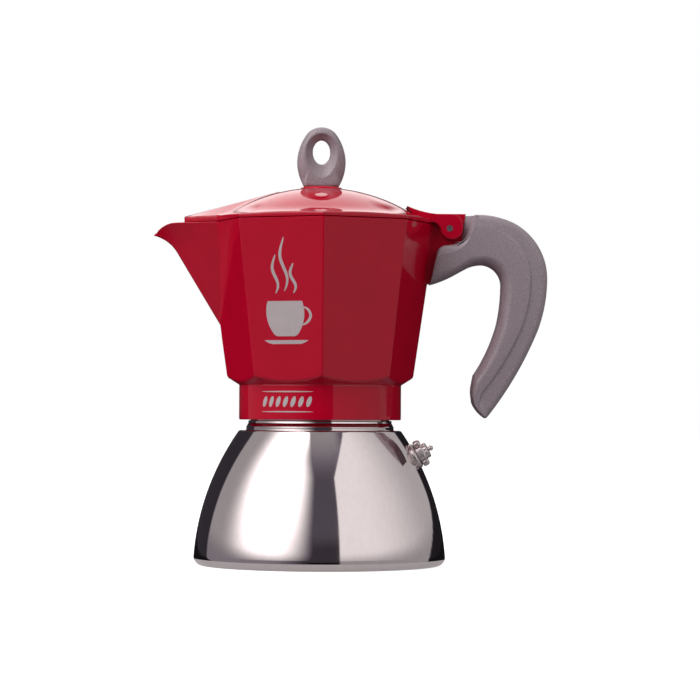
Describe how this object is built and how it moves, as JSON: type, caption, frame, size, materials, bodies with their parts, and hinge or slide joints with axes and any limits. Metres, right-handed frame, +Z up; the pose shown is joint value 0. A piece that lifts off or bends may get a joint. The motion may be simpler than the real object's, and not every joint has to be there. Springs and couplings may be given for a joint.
{
  "type": "moka pot",
  "caption": "Stovetop coffee maker: polished steel boiler with a valve, red octagonal collector with spout, hinged lid with ring knob, hooked grey handle.",
  "frame": {"origin": "centre of the boiler's flat base, on the boiler's axis", "axes": "+Z up along the boiler's axis, -X towards the spout, +X towards the handle; the hinge pin runs along Y"},
  "size_m": [0.1887, 0.1202, 0.21],
  "materials": {
    "steel": "polished stainless steel",
    "valve_metal": "plated brass, satin",
    "fastener_steel": "bright zinc plated",
    "aluminium": "spun aluminium, satin",
    "rubber": "white silicone rubber",
    "red_paint": "glossy red lacquer on cast aluminium",
    "grey_grip": "soft-touch grey plastic with a fine metallic fleck"
  },
  "bodies": {
    "boiler": {"boiler": "steel", "valve_body": "valve_metal", "valve_washer": "rubber", "valve_nut": "valve_metal", "valve_cap": "valve_metal", "valve_spring": "fastener_steel"},
    "piston": {"valve_piston": "valve_metal", "valve_seal": "rubber"},
    "funnel": {"funnel": "aluminium", "funnel_sieve": "aluminium"},
    "gasket": {"gasket": "rubber"},
    "filter_plate": {"filter_plate": "aluminium"},
    "collector": {"collector": "red_paint", "handle": "grey_grip", "handle_screw": "fastener_steel", "handle_washer": "fastener_steel", "hinge_pin": "fastener_steel"},
    "lid": {"lid": "red_paint", "lid_knob": "grey_grip", "knob_screw": "fastener_steel", "knob_washer": "fastener_steel"}
  },
  "joints": [
    {"name": "top_lift_off", "type": "slide", "parent": "boiler", "child": "gasket", "axis": [0, 0, 1], "range_m": [0, 0.12]},
    {"name": "top_rise", "type": "slide", "parent": "gasket", "child": "filter_plate", "axis": [0, 0, 1], "range_m": [0, 0.0061]},
    {"name": "top_unscrew", "type": "hinge", "parent": "filter_plate", "child": "collector", "pos_m": [0, 0, 0.0775], "axis": [0, 0, 1], "range_deg": [0, 720]},
    {"name": "lid_hinge", "type": "hinge", "parent": "collector", "child": "lid", "pos_m": [0.0613, 0, 0.1612], "axis": [0, 1, 0], "range_deg": [0, 100]},
    {"name": "funnel_lift", "type": "slide", "parent": "boiler", "child": "funnel", "axis": [0, 0, 1], "range_m": [0, 0.0725]},
    {"name": "valve_piston", "type": "slide", "parent": "boiler", "child": "piston", "axis": [0.8663, -0.1527, 0.4756], "range_m": [0, 0.0015], "stiffness_N_per_m": 400, "springref_m": -0.002, "deforming": ["valve_spring"]}
  ],
  "couplings": [
    {"joint": "top_rise", "follows": "top_unscrew", "m_per_rad": 0.00047746},
    {"joint": "funnel_lift", "follows": "top_lift_off", "ratio": 0.6}
  ]
}
